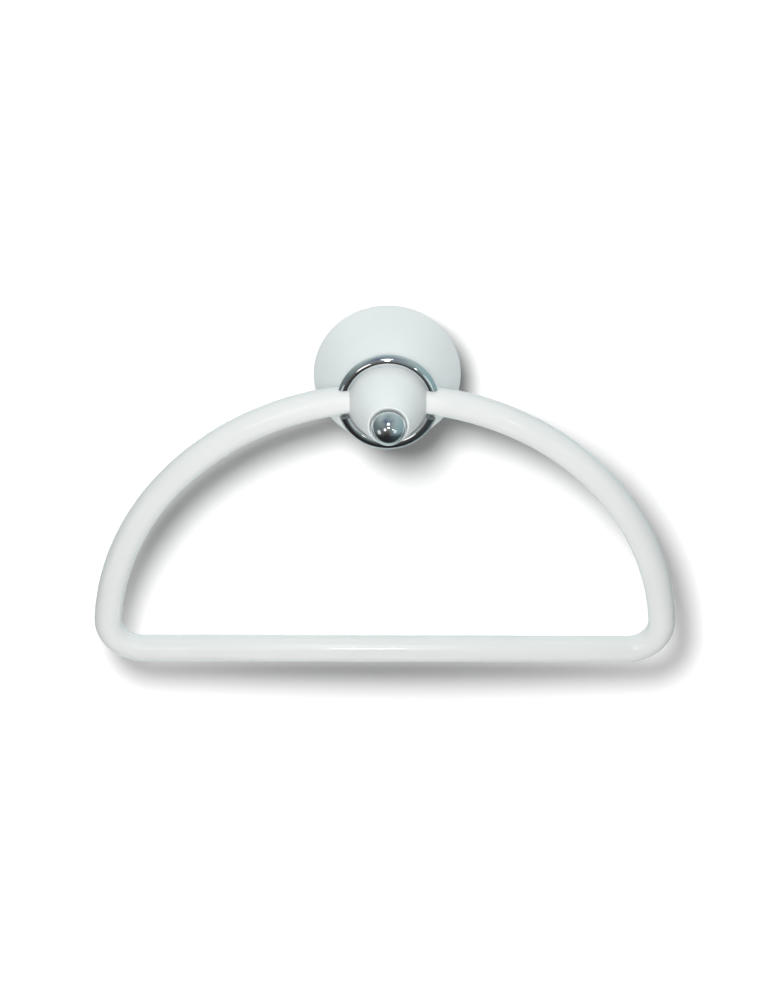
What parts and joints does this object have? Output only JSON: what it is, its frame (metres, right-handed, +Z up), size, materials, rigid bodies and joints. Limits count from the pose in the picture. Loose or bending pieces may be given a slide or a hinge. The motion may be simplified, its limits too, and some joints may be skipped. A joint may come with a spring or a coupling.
{
  "type": "towel ring",
  "caption": "Wall-mounted towel ring: a white D-shaped tube fixed in a conical white hub with a chrome bead collar and a chrome ball finial, for hanging a hand towel.",
  "frame": {"origin": "on the wall plane, at the hub's axis and midway between the two wall screws", "axes": "+X to the right along the ring's bar, +Y into the wall, +Z up; the hub points along -Y and the ring hangs down"},
  "size_m": [0.2184, 0.0491, 0.1352],
  "materials": {
    "hub_enamel": "satin white enamel on a zinc casting",
    "ring_enamel": "gloss white enamel on steel tube",
    "bright_chrome": "polished chrome plate",
    "zinc_plate": "bright zinc plate"
  },
  "bodies": {
    "root": {"wall_bracket": "zinc_plate", "base_cone": "hub_enamel", "grub_screw": "zinc_plate", "bead_collar": "bright_chrome", "towel_ring": "ring_enamel", "nose_cone": "hub_enamel", "clamp_screw": "zinc_plate", "ball_finial": "bright_chrome"}
  },
  "joints": []
}
